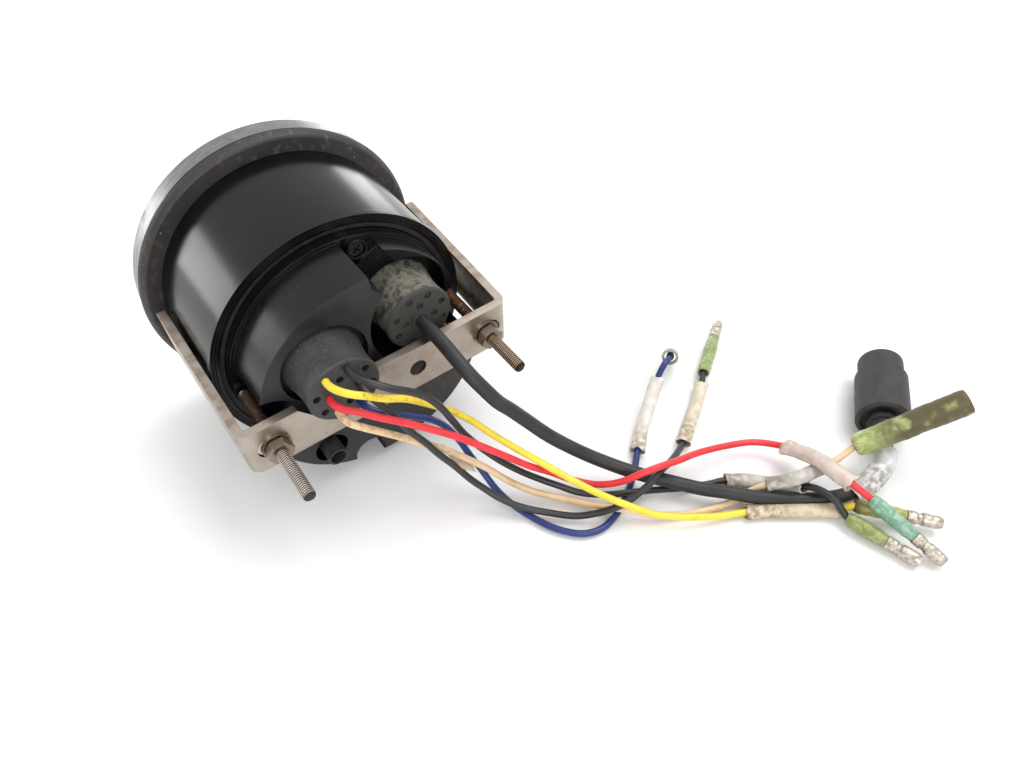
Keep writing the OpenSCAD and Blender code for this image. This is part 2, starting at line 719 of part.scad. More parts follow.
module socket_sleeve() color("#7f8c4a") along(socket_at, socket_to)
    difference() {
        rotate_extrude()
            polygon([[0, 0], [2.6, 0], [3.6, 1.4], [3.8, 4], [3.9, 34], [3.6, 34.6], [0, 34.6]]);
        translate([0, 0, -1])
            cylinder(r = wire_d / 2, h = 6);
        translate([0, 0, 20])
            cylinder(r = 2.1, h = 20);
    }

module plug_body() color("#1b1b1d") along(plug_at, plug_to)
    difference() {
        rotate_extrude($fn = 96)
            polygon([[0, 1.5], [6.6, 1.5], [6.9, 0], [7.7, 0], [8.5, 0.8], [8.5, 21], [7.4, 22],
                [7.4, 29.4], [6.9, 30], [0, 30]]);
        translate([0, 0, 22])
            difference() {
                cylinder(r = 6, h = 10);
                for (k = [0:6])
                    rotate([0, 0, 45 * k])
                        translate([3.8, 0, -1])
                            cylinder(r = 0.8, h = 8, $fn = 24);
            }
        cylinder(r = 3.6, h = 7, center = true);
    }

module plug_boot() color("#232325") along(plug_at, 2 * plug_at - plug_to)
    translate([0, 0, -3.4])
        rotate_extrude()
            polygon([[0, 0], [3.6, 0], [3.6, 3.4], [5, 3.4], [5, 5.2], [4, 5.6], [3.2, 10.8],
                [cable_d / 2, 10.8], [cable_d / 2, 4], [0, 4]]);

bezel_ring();
lens();
lens_gasket();
panel_gasket();
front_case();
case_seal();
rear_cover();
cover_screws();
grommet_left();
grommet_right();
vent_spout();
stud_left();
stud_right();
clamp_bracket();
washers();
nut_left();
nut_right();
trim_ring();
dial_plate();
dial_screws();
light_guide();
needle();
needle_cap();
needle_shaft();
rotor_magnet();
movement_cup();
movement_base();
coil_inner();
coil_outer();
circuit_board();
board_posts();
board_screws();
board_parts();
lamps();
cord_main();
wire_black_a();
wire_black_b();
wire_yellow();
wire_red();
wire_blue();
wire_beige();
plug_body();
plug_boot();
label_main();
label_black_a();
label_black_b();
label_yellow();
label_red();
label_blue();
label_beige();
sleeve_black_a();
sleeve_black_b();
sleeve_yellow();
sleeve_red();
sleeve_blue();
socket_sleeve();
bullet_black_a();
bullet_black_b();
bullet_yellow();
bullet_red();
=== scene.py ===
"""Round panel gauge with a clamp bracket and its wiring harness, lying on a pale table."""

import math

import bpy
from mathutils import Matrix, Vector, noise


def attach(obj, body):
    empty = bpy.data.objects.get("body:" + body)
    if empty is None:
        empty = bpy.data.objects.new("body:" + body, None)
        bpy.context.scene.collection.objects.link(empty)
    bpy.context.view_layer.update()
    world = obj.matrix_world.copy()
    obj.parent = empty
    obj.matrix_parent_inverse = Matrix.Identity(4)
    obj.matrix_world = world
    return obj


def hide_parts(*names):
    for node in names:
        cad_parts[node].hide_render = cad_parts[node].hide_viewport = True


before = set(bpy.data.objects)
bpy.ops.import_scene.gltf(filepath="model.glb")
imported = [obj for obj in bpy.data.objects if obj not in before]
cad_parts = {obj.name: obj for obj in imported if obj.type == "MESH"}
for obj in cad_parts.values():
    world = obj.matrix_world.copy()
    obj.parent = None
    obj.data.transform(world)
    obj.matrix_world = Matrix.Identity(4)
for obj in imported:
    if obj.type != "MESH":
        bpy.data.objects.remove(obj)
bpy.context.view_layer.update()

MM = 0.001

# ---- the gauge's own frame: +Z to its rear, +Y up across the dial ----

CASE_RIM_R = 42.9
GASKET_R = 48.6
CASE_LENGTH = 43.0
PLATEAU_W = 20
LEFT_FACE_W = 32.4
RIGHT_FACE_W = 19.7
STUD_U = 36.2
SHIFT = Vector((0, 5.28, 0))
TILT = math.atan((GASKET_R - CASE_RIM_R) / CASE_LENGTH)
AXIS_HEIGHT = CASE_RIM_R * math.cos(TILT)
ROLL = math.radians(3)
GAUGE = (
    Matrix.Translation((SHIFT + Vector((0, 0, AXIS_HEIGHT))) * MM)
    @ Matrix.Rotation(math.pi, 4, "Z")
    @ Matrix.Rotation(math.pi / 2 + TILT, 4, "X")
    @ Matrix.Rotation(ROLL, 4, "Z")
)
GAUGE_U, GAUGE_V, GAUGE_W = (GAUGE.to_3x3().col[i].copy() for i in range(3))


def on_gauge(u, v, w):
    """A point of the gauge's own frame, in millimetres, in the row frame."""
    return GAUGE @ (Vector((u, v, w)) * MM)


def on_table(point):
    """A point of the harness, in millimetres, in the row frame."""
    return (Vector(point) + SHIFT) * MM


# ---- camera ----


def make_camera():
    data = bpy.data.cameras.new("camera")
    data.lens = 26.02
    data.sensor_width = 36
    data.clip_start, data.clip_end = 0.01, 20
    camera = bpy.data.objects.new("camera", data)
    bpy.context.scene.collection.objects.link(camera)
    right = Vector((-0.80488, 0.59135, -0.0496))
    back = Vector((0.40578, 0.60942, 0.68114))
    axes = Matrix((right, back.cross(right), back)).transposed()
    camera.matrix_world = Matrix.Translation((0.06007, 0.18957, 0.18921)) @ axes.to_4x4()
    bpy.context.scene.camera = camera


make_camera()


# ---- materials ----


def linear(colour):
    """An (r, g, b) colour of 0 to 255, as light."""
    parts = [c / 255 for c in colour]
    return [p / 12.92 if p < 0.04045 else ((p + 0.055) / 1.055) ** 2.4 for p in parts] + [1.0]


class Paint:
    """A material whose colour, roughness and height are built up in layers over the row frame."""

    def __init__(self, name, colour, roughness, metallic=0.0, specular=0.5):
        self.material = bpy.data.materials.new(name)
        self.material.use_nodes = True
        self.tree = self.material.node_tree
        self.shader = self.tree.nodes["Principled BSDF"]
        self.shader.inputs["Base Color"].default_value = linear(colour)
        self.shader.inputs["Roughness"].default_value = roughness
        self.shader.inputs["Metallic"].default_value = metallic
        self.shader.inputs["Specular IOR Level"].default_value = specular
        self.place = self.tree.nodes.new("ShaderNodeTexCoord").outputs["Object"]
        self.colour = tuple(linear(colour))
        self.roughness = roughness
        self.normal = None

    def set(self, socket, value):
        self.shader.inputs[socket].default_value = value
        return self

    def math(self, operation, a, b=0.0):
        node = self.tree.nodes.new("ShaderNodeMath")
        node.operation = operation
        self.plug(a, node.inputs[0])
        self.plug(b, node.inputs[1])
        return node.outputs[0]

    def plug(self, value, socket):
        if isinstance(value, bpy.types.NodeSocket):
            self.tree.links.new(value, socket)
        else:
            socket.default_value = value

    def noise(self, size, detail=3.0, stretch=(1, 1, 1), distortion=0.0, offset=0.0):
        """Cloudy values of about 0.3 to 0.7, with features of that size in millimetres."""
        mapping = self.tree.nodes.new("ShaderNodeMapping")
        mapping.inputs["Scale"].default_value = [s / (size * MM) for s in stretch]
        mapping.inputs["Location"].default_value = [offset] * 3
        self.tree.links.new(self.place, mapping.inputs["Vector"])
        node = self.tree.nodes.new("ShaderNodeTexNoise")
        node.inputs["Scale"].default_value = 1.0
        node.inputs["Detail"].default_value = detail
        node.inputs["Distortion"].default_value = distortion
        self.tree.links.new(mapping.outputs[0], node.inputs["Vector"])
        return node.outputs[0]

    def axis(self, direction, origin=(0, 0, 0)):
        """Distance along a direction from an origin, in metres."""
        away = self.tree.nodes.new("ShaderNodeVectorMath")
        away.operation = "SUBTRACT"
        self.tree.links.new(self.place, away.inputs[0])
        away.inputs[1].default_value = origin
        dot = self.tree.nodes.new("ShaderNodeVectorMath")
        dot.operation = "DOT_PRODUCT"
        self.tree.links.new(away.outputs[0], dot.inputs[0])
        dot.inputs[1].default_value = direction
        return dot.outputs["Value"]

    def distance(self, origin):
        node = self.tree.nodes.new("ShaderNodeVectorMath")
        node.operation = "DISTANCE"
        self.tree.links.new(self.place, node.inputs[0])
        node.inputs[1].default_value = origin
        return node.outputs["Value"]

    def from_axis(self, u):
        """Distance from the line along the gauge at (u, 0), in metres."""
        across = self.axis(GAUGE_U, on_gauge(u, 0, 0))
        over = self.axis(GAUGE_V, on_gauge(u, 0, 0))
        return self.math("SQRT", self.math("ADD", self.both(across, across), self.both(over, over)))

    def step(self, value, low, high, top=1.0):
        """0 below low, top above high, and smooth between. low may be the greater."""
        node = self.tree.nodes.new("ShaderNodeMapRange")
        node.interpolation_type = "SMOOTHSTEP"
        node.clamp = True
        self.tree.links.new(value, node.inputs["Value"])
        node.inputs["From Min"].default_value = low
        node.inputs["From Max"].default_value = high
        node.inputs["To Max"].default_value = top
        return node.outputs["Result"]

    def facing(self, direction, low, high):
        """Where the surface faces a direction of the row frame."""
        geometry = self.tree.nodes.new("ShaderNodeNewGeometry")
        dot = self.tree.nodes.new("ShaderNodeVectorMath")
        dot.operation = "DOT_PRODUCT"
        self.tree.links.new(geometry.outputs["Normal"], dot.inputs[0])
        dot.inputs[1].default_value = direction
        return self.step(dot.outputs["Value"], low, high)

    def both(self, a, b):
        return self.math("MULTIPLY", a, b)

    def coat_of(self, mask, colour, roughness=None):
        """Lays a colour, and a roughness if there is one, over what is there."""
        mix = self.tree.nodes.new("ShaderNodeMix")
        mix.data_type = "RGBA"
        self.plug(mask, mix.inputs[0])
        self.plug(self.colour, mix.inputs[6])
        mix.inputs[7].default_value = linear(colour)
        self.colour = mix.outputs[2]
        self.tree.links.new(self.colour, self.shader.inputs["Base Color"])
        if roughness is not None:
            blend = self.tree.nodes.new("ShaderNodeMix")
            blend.data_type = "FLOAT"
            self.plug(mask, blend.inputs[0])
            self.plug(self.roughness, blend.inputs[2])
            blend.inputs[3].default_value = roughness
            self.roughness = blend.outputs[0]
            self.tree.links.new(self.roughness, self.shader.inputs["Roughness"])
        return self

    def height(self, value, depth, strength=1.0):
        """Raises the surface by depth millimetres where the value is 1."""
        node = self.tree.nodes.new("ShaderNodeBump")
        node.inputs["Strength"].default_value = strength
        node.inputs["Distance"].default_value = depth * MM
        self.tree.links.new(value, node.inputs["Height"])
        if self.normal is not None:
            self.tree.links.new(self.normal, node.inputs["Normal"])
        self.normal = node.outputs["Normal"]
        self.tree.links.new(self.normal, self.shader.inputs["Normal"])
        return self

    def rounded(self, radius):
        """Softens the look of sharp edges by a radius in millimetres. Comes before any height."""
        node = self.tree.nodes.new("ShaderNodeBevel")
        node.samples = 4
        node.inputs["Radius"].default_value = radius * MM
        self.normal = node.outputs["Normal"]
        self.tree.links.new(self.normal, self.shader.inputs["Normal"])
        return self


def bezel_metal():
    p = Paint("bezel_satin_metal", (150, 150, 152), 0.36, metallic=1.0)
    p.rounded(0.3)
    streaks = p.noise(1.2, detail=4, stretch=(0.2, 6, 0.2))
    p.coat_of(p.step(streaks, 0.35, 0.7), (120, 120, 122), 0.46)
    p.coat_of(p.step(p.noise(9), 0.55, 0.75, 0.5), (92, 88, 84), 0.55)
    return p.height(streaks, 0.01).material


def gasket_rubber():
    p = Paint("gasket_dull_rubber", (40, 38, 38), 0.55)
    p.coat_of(p.step(p.noise(14), 0.4, 0.68, 0.45), (62, 58, 56), 0.7)
    left = p.step(p.axis((0.8, -0.6, 0.2), on_gauge(-20, 10, -44)), 0.0, 0.03)
    streaks = p.noise(3.5, detail=6, stretch=(1, 3, 1))
    p.coat_of(p.both(p.step(streaks, 0.52, 0.66, 0.5), left), (104, 86, 66), 0.85)
    top = p.step(p.axis((-0.6, 0.1, 0.8), on_gauge(0, 0, -44)), 0.01, 0.05)
    pale_dirt = p.step(p.noise(2.5, detail=6, offset=5), 0.56, 0.68, 0.4)
    p.coat_of(p.both(pale_dirt, top), (112, 104, 96), 0.85)
    # Near-white specks: painted glints on the rubber.
    p.coat_of(p.step(p.noise(0.9, detail=2, offset=9), 0.74, 0.77), (190, 186, 180), 0.8)
    p.height(p.noise(3, detail=5), 0.1)
    return p.height(p.noise(0.35), 0.02).material


def case_plastic():
    p = Paint("case_black_plastic", (9, 9, 11), 0.2, specular=0.28)
    p.rounded(0.25)
    p.coat_of(p.step(p.noise(16, detail=4), 0.45, 0.75, 0.4), (20, 20, 22), 0.26)
    specks = p.step(p.noise(0.7, detail=2), 0.7, 0.75, 0.6)
    dusty_areas = p.step(p.noise(12, offset=3), 0.5, 0.65)
    p.coat_of(p.both(specks, dusty_areas), (66, 63, 60), 0.6)
    return p.height(p.noise(3.0, detail=2), 0.008).material


def cover_plastic():
    p = Paint("cover_black_plastic", (12, 12, 14), 0.24, specular=0.32)
    p.rounded(0.4)
    above_plateau = p.axis(GAUGE_W, on_gauge(0, 0, PLATEAU_W))
    top = p.both(p.step(above_plateau, -0.5 * MM, 0.5 * MM), p.facing(GAUGE_W, 0.6, 0.9))
    p.coat_of(p.both(top, p.step(p.noise(13, detail=5), 0.15, 0.6)), (44, 44, 47), 0.5)
    p.coat_of(p.step(p.noise(8, detail=4, offset=2), 0.58, 0.76, 0.3), (38, 37, 37), 0.5)
    p.coat_of(p.step(p.noise(0.6, detail=2), 0.74, 0.78, 0.7), (98, 94, 90), 0.8)
    low = p.step(p.distance(on_gauge(20, -18, 21)), 0.016, 0.006)
    p.coat_of(p.both(low, p.step(p.noise(2.5, detail=6), 0.5, 0.66, 0.7)), (84, 66, 48), 0.7)
    p.height(p.noise(0.25, detail=2), 0.008)
    return p.height(p.noise(5), 0.03).material


def grommet_rubber():
    p = Paint("grommet_grey_rubber", (50, 50, 51), 0.5)
    p.rounded(0.3)
    p.coat_of(p.step(p.noise(7, detail=5), 0.4, 0.7, 0.6), (66, 66, 67), 0.62)
    rim = p.step(p.axis(GAUGE_V, on_gauge(-14, 14, 20)), 0.0, 0.012)
    dust = p.both(p.step(p.noise(0.6, detail=4), 0.58, 0.7, 0.45), rim)
    p.coat_of(dust, (118, 114, 108), 0.85)
    face = p.step(p.axis(GAUGE_W, on_gauge(0, 0, LEFT_FACE_W)), -0.4 * MM, 0.2 * MM)
    p.coat_of(p.both(face, p.step(p.noise(3), 0.3, 0.6)), (40, 41, 43), 0.45)
    p.height(p.noise(2.5, detail=4), 0.1)
    return p.height(p.noise(0.4), 0.02).material


def aged_rubber():
    p = Paint("grommet_aged_rubber", (54, 53, 51), 0.7)
    p.rounded(0.3)
    side = p.step(p.axis(GAUGE_W, on_gauge(0, 0, RIGHT_FACE_W)), 0.3 * MM, -1.2 * MM)
    chalk = p.step(p.noise(2.2, detail=8), 0.36, 0.56, 0.8)
    p.coat_of(p.both(side, chalk), (120, 118, 104), 0.95)
    grime = p.step(p.noise(1.1, detail=6, offset=4), 0.52, 0.62, 0.7)
    p.coat_of(p.both(side, grime), (86, 82, 66), 0.95)
    flecks = p.step(p.noise(0.7, detail=5, offset=8), 0.62, 0.7, 0.6)
    p.coat_of(p.both(side, flecks), (164, 160, 148), 0.95)
    p.coat_of(p.step(p.noise(1.2, detail=5, offset=1), 0.6, 0.7, 0.35), (80, 78, 70), 0.9)
    p.height(p.noise(1.1, detail=8), 0.2)
    return p.material


def black_rubber():
    p = Paint("matt_black_rubber", (24, 24, 25), 0.6)
    p.coat_of(p.step(p.noise(3), 0.45, 0.7), (38, 37, 37), 0.7)
    return p.height(p.noise(0.5), 0.03).material


def steel(name, colour, stain, rust, roughness, amount, soft_edge=0.15):
    """Dull bare metal: stain is a soft brown film, rust the small dark patches."""
    p = Paint(name, colour, roughness, metallic=1.0)
    if soft_edge:
        p.rounded(soft_edge)
    p.coat_of(p.step(p.noise(7, detail=6), 0.42, 0.68, amount), stain, roughness + 0.12)
    p.coat_of(p.step(p.noise(1.5, detail=6, offset=3), 0.62, 0.74, amount * 0.7), rust, 0.7)
    p.height(p.noise(0.5, detail=3, stretch=(0.3, 1, 3)), 0.008)
    return p.height(p.noise(2, detail=5), 0.015)


def bracket_steel():
    p = steel("bracket_stained_steel", (178, 168, 157), (158, 143, 128), (122, 98, 78), 0.34, 0.5)
    inside = p.step(p.axis(GAUGE_W, on_gauge(0, 0, 25.0)), 0.0004, -0.001)
    brown = p.step(p.noise(4, detail=5, offset=6), 0.4, 0.66, 0.5)
    p.coat_of(p.both(inside, brown), (122, 100, 82), 0.5)
    specks = p.step(p.noise(0.7, detail=3, offset=7), 0.74, 0.79, 0.6)
    p.coat_of(specks, (90, 72, 58), 0.7)
    return p.material


def stud_steel(name, u, colour, stain, rust, amount):
    p = steel(name, colour, stain, rust, 0.34, amount, soft_edge=0)
    # Thread roots darkened to 0.3 of the colour: painted shade in the thread grooves.
    shaded_root = p.step(p.from_axis(u), 1.92 * MM, 1.7 * MM, 0.95)
    p.coat_of(shaded_root, [c * 0.3 for c in colour], 0.6)
    shank = p.step(p.axis(GAUGE_W, on_gauge(0, 0, 26)), 0.0, -0.002)
    rusty = p.step(p.noise(1.5, detail=5, offset=2), 0.3, 0.5, 0.8)
    p.coat_of(p.both(shank, rusty), (92, 62, 44), 0.8)
    return p.material


def dial_black():
    p = Paint("dial_matt_black", (20, 20, 21), 0.7)
    p.coat_of(p.step(p.noise(0.2), 0.4, 0.6, 0.4), (28, 28, 29), 0.75)
    return p.height(p.noise(0.15), 0.01).material


def clear_lens():
    p = Paint("lens_clear_plastic", (236, 240, 242), 0.05, specular=0.6)
    p.coat_of(p.step(p.noise(10), 0.5, 0.7, 0.3), (222, 224, 224), 0.12)
    p.set("Alpha", 0.12)
    return p.height(p.noise(2.0, detail=1, stretch=(8, 1, 1)), 0.002).material


def insulation(name, colour, darker, roughness=0.36, grime=0.35):
    """PVC wire insulation with handling marks and a little dirt."""
    p = Paint(name, colour, roughness)
    p.coat_of(p.step(p.noise(6, detail=4), 0.45, 0.7, 0.6), darker, roughness + 0.1)
    marks = p.step(p.noise(1.1, detail=5, offset=3), 0.64, 0.76, grime)
    p.coat_of(marks, [c * 0.6 for c in darker], 0.65)
    return p


def yellow_insulation():
    p = insulation("wire_yellow_pvc", (232, 208, 62), (208, 176, 48))
    near = p.step(p.distance(on_gauge(-12, 16, 42)), 0.055, 0.02)
    dirt = p.step(p.noise(1.4, detail=6, offset=2), 0.56, 0.68, 0.5)
    p.coat_of(p.both(near, dirt), (128, 106, 46), 0.7)
    return p.height(p.noise(1.5), 0.03).material


def beige_insulation():
    p = insulation("wire_beige_pvc", (226, 198, 158), (204, 168, 122), 0.42, 0.5)
    near = p.step(p.distance(on_gauge(-12, 10, 36)), 0.05, 0.015)
    dirt = p.step(p.noise(1.8, detail=6, offset=2), 0.48, 0.64, 0.6)
    p.coat_of(p.both(near, dirt), (166, 126, 84), 0.65)
    return p.height(p.noise(1.5), 0.03).material


def film(name, colour, shade, stain, stain_from, reach, alpha=0.86):
    """Thin yellowed sleeve with dirt that has crept in from one end."""
    p = Paint(name, colour, 0.38)
    p.coat_of(p.step(p.noise(2.6, detail=5), 0.38, 0.66, 0.6), shade, 0.45)
    end = p.step(p.distance(stain_from), reach, reach * 0.25)
    p.coat_of(p.both(end, p.step(p.noise(1.8, detail=6, offset=3), 0.36, 0.6, 0.65)), stain, 0.65)
    spots = p.step(p.noise(0.8, detail=5, offset=8), 0.64, 0.74, 0.35)
    p.coat_of(spots, [c * 0.6 for c in stain], 0.75)
    p.set("Alpha", alpha)
    return p.height(p.noise(1.2, detail=5), 0.12).material


def vinyl(name, colour, light, dirt, alpha=0.8, dirt_from=None, reach=0.012):
    """Translucent connector sleeve with pale patches that are painted highlights on its creases,
    and some dirt under it.
    """
    p = Paint(name, colour, 0.26)
    # The pale patches in the light tone are painted highlights on the creases.
    p.coat_of(p.step(p.noise(2.4, detail=3, distortion=1.0), 0.46, 0.62, 0.7), light, 0.3)
    if dirt_from is not None:
        end = p.step(p.distance(dirt_from), reach, reach * 0.45)
        p.coat_of(p.both(end, p.step(p.noise(5, detail=5, offset=2), 0.2, 0.5)), dirt, 0.5)
    p.coat_of(p.step(p.noise(1.6, detail=6, offset=5), 0.58, 0.72, 0.5), dirt, 0.5)
    p.set("Alpha", alpha)
    return p.height(p.noise(1.6, detail=3), 0.1).material


def plain(name, colour, other, roughness, metallic=0.0, size=3.0, depth=0.02):
    """Two close tones and a fine surface, for the small parts."""
    p = Paint(name, colour, roughness, metallic)
    p.coat_of(p.step(p.noise(size, detail=4), 0.4, 0.65), other, min(1.0, roughness + 0.15))
    return p.height(p.noise(0.4), depth).material


MATERIALS = {
    "bezel_ring": bezel_metal(),
    "lens": clear_lens(),
    "panel_gasket": gasket_rubber(),
    "front_case": case_plastic(),
    "rear_cover": cover_plastic(),
    "grommet_left": grommet_rubber(),
    "grommet_right": aged_rubber(),
    "clamp_bracket": bracket_steel(),
    "dial_plate": dial_black(),
    "cover_screws": plain("screw_black_oxide", (52, 52, 54), (78, 72, 66), 0.45, 1.0, 0.8),
    "trim_ring": plain("trim_matt_black", (22, 22, 23), (32, 32, 33), 0.6),
    "needle": plain("needle_orange_paint", (226, 88, 34), (212, 78, 30), 0.45, size=1.5),
    "needle_shaft": plain("shaft_turned_steel", (190, 190, 192), (160, 160, 162), 0.3, 1.0, 0.5),
    "rotor_magnet": plain("magnet_sintered_grey", (88, 88, 92), (72, 72, 76), 0.6, 0.4),
    "movement_cup": plain("cup_drawn_steel", (186, 188, 190), (162, 164, 168), 0.34, 1.0, 2),
    "movement_base": plain("bobbin_nylon", (224, 218, 202), (208, 200, 182), 0.5),
    "coil_inner": plain("coil_enamelled_copper", (168, 86, 44), (132, 60, 30), 0.35, 0.8, 0.3,
                        0.08),
    "circuit_board": plain("board_solder_mask", (26, 92, 52), (18, 70, 40), 0.4, size=2),
    "board_posts": plain("post_turned_brass", (196, 168, 98), (166, 138, 76), 0.35, 1.0, 1),
    "board_parts": plain("part_moulded_black", (30, 30, 32), (44, 44, 46), 0.5),
    "lamps": plain("lamp_frosted_white", (236, 230, 208), (218, 208, 180), 0.4),
    "light_guide": plain("light_guide_frosted", (214, 220, 216), (196, 204, 200), 0.45),
    "lens_gasket": black_rubber(),
    "plug_body": plain("plug_moulded_black", (38, 37, 37), (56, 54, 53), 0.55, size=4, depth=0.05),
}
SHARED = {
    "vent_spout": "plug_body",
    "case_seal": "lens_gasket",
    "coil_outer": "coil_inner",
    "needle_cap": "trim_ring",
    "dial_screws": "cover_screws",
    "plug_boot": "plug_body",
}
NUT = steel("nut_dull_plating", (142, 130, 120), (120, 104, 90), (88, 68, 52), 0.3, 0.5,
            0.1).material
BRIGHT = plain("screw_bright_zinc", (180, 180, 182), (150, 150, 150), 0.35, 1.0, 1)
TIN = plain("bullet_dull_tin", (206, 198, 186), (164, 152, 138), 0.42, 0.85, 1.2, 0.03)


def dress(node, material):
    """Gives a CAD node its material."""
    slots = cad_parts[node].material_slots
    for s in slots:
        s.material = material


for node, material in MATERIALS.items():
    dress(node, material)
for node, like in SHARED.items():
    dress(node, MATERIALS[like])
for node in ("nut_left", "nut_right", "washers"):
    dress(node, NUT)
dress("board_screws", BRIGHT)
for node in ("bullet_yellow", "bullet_black_a", "bullet_black_b", "bullet_red"):
    dress(node, TIN)


# ---- cords ----

MAIN_ROUTE = [(-16.5, 21, 53.5), (-16.5, 28.5, 52.5), (-16.5, 35.5, 51.5), (-16.5, 42, 50),
    (-17.5, 47, 47), (-19.5, 50.5, 43), (-22, 53, 38.5), (-25.5, 54.5, 34),
    (-29.5, 56.5, 28.5), (-35, 61, 21.5), (-42.5, 66.5, 14), (-49, 73, 9.5), (-55, 80.5, 7),
    (-61, 88, 6), (-67, 95.5, 5), (-72.5, 102.5, 5.5), (-79, 108.5, 4), (-88.5, 115.5, 2.5),
    (-96, 121, 2.6), (-102.5, 124.5, 3.5), (-109, 126, 5.5), (-115.5, 125.5, 7.5),
    (-121, 122.5, 8.5), (-125, 119.5, 8.5)]
BLACK_A_ROUTE = [(13.5, 33.5, 60), (13.5, 37.5, 59.5), (12.5, 41, 59), (10, 44, 58),
    (6.5, 46.5, 56), (2, 47.5, 53), (-2, 48, 49), (-5.5, 48.5, 43.5), (-8, 49.5, 37.5),
    (-11, 50.5, 30), (-15, 52.5, 23), (-19.5, 55.5, 16.5), (-24.5, 59, 11), (-29, 63, 7.5),
    (-33, 67.5, 5.5), (-37, 72.5, 4), (-42.5, 78, 4), (-49.5, 82.5, 4), (-57.5, 86, 2.5),
    (-65, 90, 1.5), (-72.5, 94, 1.5), (-77.5, 96.5, 2), (-82.5, 100.5, 2), (-87, 105.5, 2),
    (-90.5, 110.5, 2.5), (-92, 115, 5.7), (-93, 119.5, 7.4), (-93.5, 124.5, 7),
    (-93.8, 129.6, 3.5), (-94.4, 132.6, 3.2)]
BLACK_B_ROUTE = [(11, 32.5, 52), (11, 36.5, 51.5), (10, 39.5, 49.5), (8.5, 41.5, 47),
    (6.5, 43, 43.5), (5, 44, 40), (3, 45, 35.5), (0, 46.5, 30.5), (-3, 48, 24.5),
    (-6.5, 50, 18.5), (-9.5, 53, 13), (-12.5, 56.5, 9), (-15, 60.5, 6.5), (-19, 66, 4.5),
    (-24.5, 71.5, 3), (-31, 78, 2.5), (-37, 82.5, 4), (-41, 85.5, 6.5), (-45, 86.5, 7.5),
    (-49.5, 87, 9), (-54, 87, 10.5), (-58.5, 86, 11), (-64, 84, 8.5), (-71, 81, 5.5),
    (-78, 77.5, 3), (-84.5, 73.5, 2), (-95.5, 67, 2), (-104, 61.5, 3), (-108.5, 58, 3.5),
    (-111, 56.5, 3.5)]
YELLOW_ROUTE = [(20, 33.5, 59), (20, 37, 58.5), (19, 40.5, 58.5), (16.5, 43, 57.5),
    (13, 44, 55.5), (8, 44, 51.5), (2, 43, 47), (-4, 43, 41.5), (-9.5, 45, 37),
    (-14.5, 49, 32.5), (-19, 54, 27), (-24, 59, 21.5), (-28.5, 64, 17), (-32.5, 70, 13.5),
    (-36.5, 77.5, 11), (-40, 84.5, 10), (-44, 89.5, 8), (-48.5, 94, 5.5), (-53, 97.5, 4.5),
    (-57.5, 101, 4), (-65, 105, 2.5), (-73, 109, 2), (-79, 113, 2), (-87, 119.5, 2),
    (-94.5, 125.5, 2.4), (-98, 128.5, 4.8), (-100, 131, 4.8)]
RED_ROUTE = [(20, 32.5, 51.5), (20, 36.5, 51), (18.5, 39.5, 50.5), (15.5, 42, 49.5),
    (11, 44.5, 46.5), (5, 47, 42.5), (-1, 49.5, 38), (-6.5, 52.5, 34), (-12.5, 55.5, 28.5),
    (-19, 59.5, 22.5), (-25.5, 62.5, 16), (-31.5, 65, 11), (-36, 69, 8), (-40.5, 74, 7),
    (-44, 78.5, 8.5), (-47.5, 82, 11), (-51.5, 84.5, 13.5), (-57, 86.5, 14.5),
    (-65.5, 87, 12), (-75.5, 86.5, 8), (-86, 88.5, 5.5), (-95, 93, 5), (-100, 101.5, 6.5),
    (-99.5, 111.5, 10.5), (-98.5, 119, 12), (-98.5, 125.5, 11.8), (-100, 131.5, 9.5),
    (-100.3, 134, 8.8)]
BLUE_ROUTE = [(11.5, 31.5, 45), (11.5, 35.5, 44.5), (10, 38, 43.5), (7, 39.5, 41.5),
    (3, 39.5, 38.5), (-1.5, 39, 34.5), (-6.5, 39, 30), (-10.5, 40, 25), (-13, 42.5, 19.5),
    (-14.5, 45.5, 14), (-16, 49.5, 9), (-17, 55, 4.5), (-18.5, 61.5, 2), (-20.5, 69, 1.5),
    (-23.5, 77, 1.5), (-28.5, 83.5, 1.5), (-34.5, 86, 1.5), (-41, 85, 1.5), (-46.5, 82.5, 1.5),
    (-52, 79.5, 1.5), (-58, 75.5, 1.5), (-64.5, 70, 2), (-71, 65, 3.5), (-80.5, 59, 7.5),
    (-87, 55.5, 12), (-91.5, 54, 15), (-95.5, 52.5, 14.5), (-97, 51.5, 13)]
BEIGE_ROUTE = [(18.5, 31.5, 45), (18.5, 35.5, 44.5), (17.5, 38.5, 43.5), (15, 40.5, 42),
    (11.5, 41.5, 39), (6, 42, 33.5), (0.5, 43, 28), (-5, 45, 23.5), (-10, 48.5, 19),
    (-15.5, 53, 14), (-20.5, 58.5, 8.5), (-26, 64, 4.5), (-32, 70, 2.5), (-37.5, 77.5, 2.5),
    (-43, 85.5, 4), (-49.5, 92, 2.5), (-57, 97, 1.5), (-65, 101, 1.5), (-73.5, 103.5, 1.5),
    (-79.8, 104.2, 1.8), (-84, 107.4, 5.4), (-87.5, 111, 7.8), (-91, 113.2, 9.2), (-96, 113.5, 7.9),
    (-103, 114.5, 6.8), (-108, 115.5, 8.3), (-112.5, 116.5, 11), (-114.5, 117.8, 12.2)]


def smooth_line(points, per_step=6):
    """Points of a smooth line through the given ones."""
    line = []
    last = len(points) - 1
    for i in range(last):
        a, b = points[max(i - 1, 0)], points[i]
        c, d = points[i + 1], points[min(i + 2, last)]
        for k in range(per_step):
            t = k / per_step
            line.append(
                0.5
                * (
                    2 * b
                    + (c - a) * t
                    + (2 * a - 5 * b + 4 * c - d) * t * t
                    + (3 * b - a - 3 * c + d) * t * t * t
                )
            )
    return line + [points[-1]]


